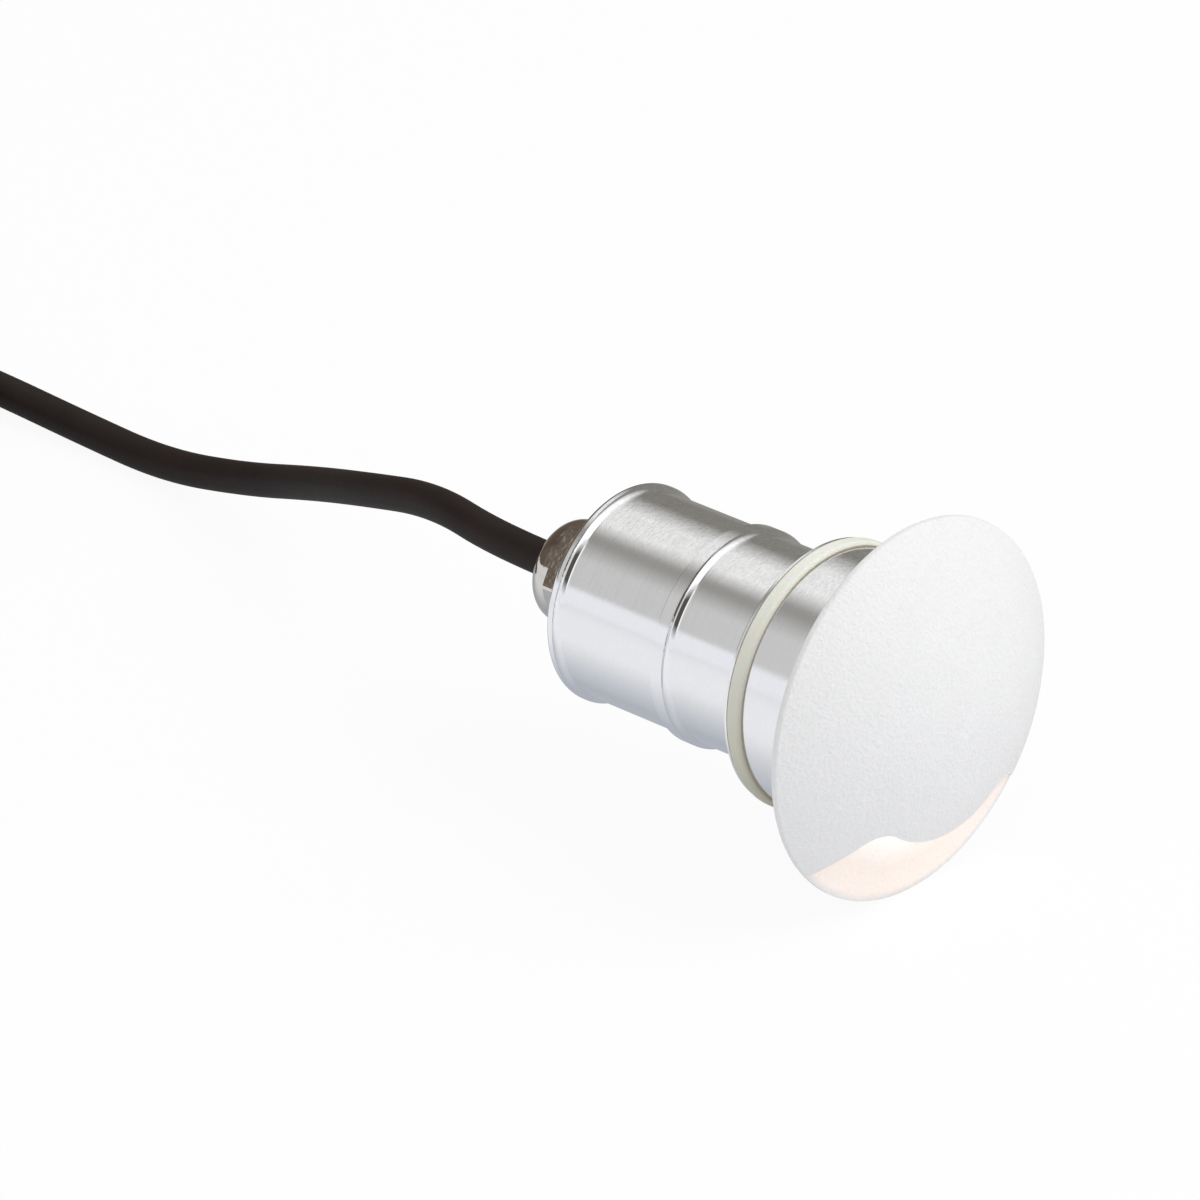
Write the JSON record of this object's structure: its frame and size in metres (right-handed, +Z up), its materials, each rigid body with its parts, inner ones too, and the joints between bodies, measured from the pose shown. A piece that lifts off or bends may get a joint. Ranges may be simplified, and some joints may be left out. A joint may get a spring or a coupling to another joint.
{
  "type": "recessed wall light",
  "caption": "Small recessed wall light: white domed face with a fan-shaped scoop that throws light down, ribbed aluminium barrel, silicone grip ring, cable gland and black lead.",
  "frame": {"origin": "on the light's axis in the plane of the wall, level with the back of the collar's flange", "axes": "+Y along the axis into the wall, so the face looks towards -Y; +Z up, so the scoop opens towards -Z; +X to the right seen from the front"},
  "size_m": [0.0692, 0.2307, 0.045],
  "materials": {
    "white_paint": "white powder coat with a fine grain",
    "turned_aluminium": "turned, with fine lines round the axis",
    "clear_silicone": "translucent silicone, satin",
    "black_rubber": "moulded, matte",
    "clear_glass": "clear, polished",
    "opal_plastic": "opal, frosted",
    "mirror_plastic": "metallised",
    "thermal_pad": "soft, matte",
    "white_board": "white solder mask on a metal core",
    "ceramic": "ceramic",
    "screw_steel": "plain steel",
    "tinned_copper": "tin plated",
    "white_plastic": "moulded nylon",
    "black_plastic": "moulded, matte",
    "green_board": "solder mask over glass fibre",
    "component_black": "moulded epoxy",
    "capacitor_can": "sleeved can",
    "wire_black": "extruded insulation",
    "wire_red": "extruded insulation",
    "nickel_plate": "nickel plated, polished",
    "cable_jacket": "extruded rubber jacket, matte"
  },
  "bodies": {
    "housing": {"barrel_o_ring": "black_rubber", "board_screws": "screw_steel", "cable": "cable_jacket", "cable_coil": "cable_jacket", "cable_entry": "cable_jacket", "coil_tie": "black_plastic", "collar": "turned_aluminium", "collar_o_ring": "black_rubber", "core_black": "wire_black", "core_red": "wire_red", "driver_board": "green_board", "driver_capacitors": "capacitor_can", "driver_controller": "component_black", "driver_inductor": "component_black", "driver_rectifier": "component_black", "driver_tray": "black_plastic", "feed_pins": "tinned_copper", "ferrules": "tinned_copper", "front_barrel": "turned_aluminium", "gland_body": "nickel_plate", "gland_seal": "black_rubber", "gland_washer": "black_rubber", "lamp_wire_black": "wire_black", "lamp_wire_red": "wire_red", "led_board": "white_board", "led_carrier": "turned_aluminium", "led_emitter": "ceramic", "led_lens": "clear_glass", "pin_sleeves": "white_plastic", "rear_barrel": "turned_aluminium", "supply_wire_black": "wire_black", "supply_wire_red": "wire_red", "thermal_pad": "thermal_pad", "wall_seal_ring": "clear_silicone", "window": "clear_glass", "window_seal": "black_rubber"},
    "cover_carriage": {"cover_gasket": "black_rubber"},
    "cover": {"diffuser": "opal_plastic", "face_cover": "white_paint", "reflector": "mirror_plastic"},
    "gland_carriage": {"gland_claw": "white_plastic"},
    "gland_cap": {"gland_nut": "nickel_plate"}
  },
  "joints": [
    {"name": "cover_travel", "type": "slide", "parent": "housing", "child": "cover_carriage", "axis": [0, -1, 0], "range_m": [0, 0.0015]},
    {"name": "cover_turn", "type": "hinge", "parent": "cover_carriage", "child": "cover", "pos_m": [0, 0, 0], "axis": [0, -1, 0], "range_deg": [0, 540]},
    {"name": "gland_travel", "type": "slide", "parent": "housing", "child": "gland_carriage", "axis": [0, 1, 0], "range_m": [0, 0.003]},
    {"name": "gland_turn", "type": "hinge", "parent": "gland_carriage", "child": "gland_cap", "pos_m": [0, 0.0463, 0], "axis": [0, 1, 0], "range_deg": [0, 720]}
  ],
  "couplings": [
    {"joint": "cover_travel", "follows": "cover_turn", "m_per_rad": 0.00015915},
    {"joint": "gland_travel", "follows": "gland_turn", "m_per_rad": 0.00023873}
  ]
}
